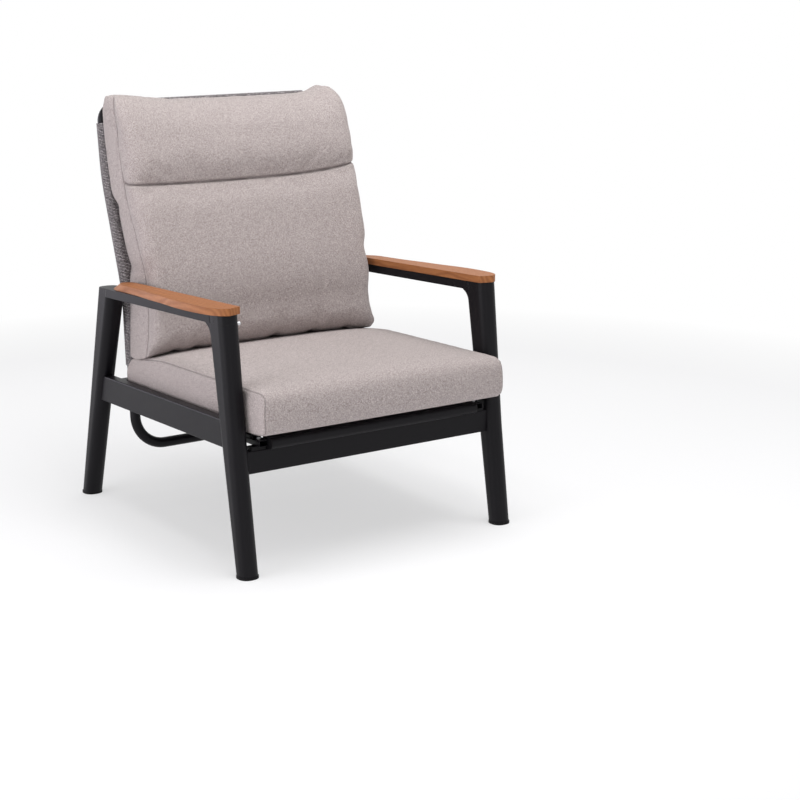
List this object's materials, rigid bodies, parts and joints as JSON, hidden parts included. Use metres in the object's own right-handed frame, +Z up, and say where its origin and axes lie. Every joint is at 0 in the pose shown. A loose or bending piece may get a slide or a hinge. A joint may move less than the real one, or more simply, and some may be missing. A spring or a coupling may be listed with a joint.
{
  "type": "reclining garden armchair",
  "caption": "Reclining outdoor armchair with tapered metal legs, wooden armrest boards, thick seat and back cushions and a woven back.",
  "frame": {"origin": "centre of the chair's bounding box at floor level", "axes": "+Z up, the sitter faces -Y, +X towards the right armrest as seen by someone standing in front"},
  "size_m": [0.7694, 0.8479, 0.988],
  "materials": {
    "frame": "satin powder coat",
    "teak": "oiled satin",
    "steel_hardware": "satin",
    "black_plastic": "matte",
    "cushion_fabric": "matte melange weave",
    "woven_strap": "matte woven",
    "spring_rod": "polished",
    "spring_body": "satin black",
    "button_chrome": "polished"
  },
  "bodies": {
    "frame": {"front_leg_left": "frame", "front_leg_right": "frame", "rear_leg_left": "frame", "rear_leg_right": "frame", "front_foot_left": "black_plastic", "front_foot_right": "black_plastic", "rear_foot_left": "black_plastic", "rear_foot_right": "black_plastic", "arm_tube_left": "frame", "arm_tube_right": "frame", "armrest_left": "teak", "armrest_right": "teak", "armrest_screws": "steel_hardware", "side_rail_left": "frame", "side_rail_right": "frame", "front_apron": "frame", "rear_crossbar": "frame", "seat_front_bar": "frame", "seat_front_bar_caps": "black_plastic", "seat_side_bar_left": "frame", "seat_side_bar_right": "frame", "seat_mid_bar": "frame", "seat_rear_bar": "frame", "seat_slats": "frame", "seat_mount_blocks": "black_plastic", "seat_bracket_left": "frame", "seat_bracket_right": "frame", "seat_bolts": "steel_hardware", "seat_cushion": "cushion_fabric", "pivot_bolts": "steel_hardware", "pivot_spacers": "black_plastic", "pivot_inserts": "steel_hardware", "spring_front_bracket": "frame", "spring_front_pin": "steel_hardware", "button_housing": "black_plastic"},
    "back": {"back_side_tube_left": "frame", "back_side_tube_right": "frame", "back_lower_bow": "frame", "back_top_bow": "frame", "weave_bar": "frame", "side_wrap_left": "woven_strap", "side_wrap_right": "woven_strap", "top_wrap": "woven_strap", "woven_panel": "woven_strap", "back_cushion": "cushion_fabric", "pivot_sleeves": "frame", "spring_rear_ears": "frame", "spring_rear_pin": "steel_hardware"},
    "spring_rod": {"release_head": "frame", "release_lever": "steel_hardware", "gas_spring_rod": "spring_rod", "gas_spring_piston": "steel_hardware"},
    "spring_cylinder": {"gas_spring_cylinder": "spring_body", "gas_spring_eye": "spring_body"},
    "release_button": {"release_button": "button_chrome"}
  },
  "joints": [
    {"name": "back_recline", "type": "hinge", "parent": "frame", "child": "back", "pos_m": [0, 0.2415, 0.2932], "axis": [-1, 0, 0], "range_deg": [0, 35]},
    {"name": "gas_spring_swing", "type": "hinge", "parent": "frame", "child": "spring_rod", "pos_m": [0, -0.13048, 0.25224], "axis": [1, 0, 0], "range_deg": [0, 3.8]},
    {"name": "gas_spring_stroke", "type": "slide", "parent": "spring_rod", "child": "spring_cylinder", "axis": [0, 0.9762, -0.2168], "range_m": [-0.0695, 0]},
    {"name": "release_button_press", "type": "slide", "parent": "frame", "child": "release_button", "axis": [-1, 0, 0], "range_m": [0, 0.004], "stiffness_N_per_m": 400}
  ],
  "couplings": [
    {"joint": "gas_spring_swing", "follows": "back_recline", "ratio": 0.1085},
    {"joint": "gas_spring_stroke", "follows": "back_recline", "m_per_rad": -0.1131}
  ]
}
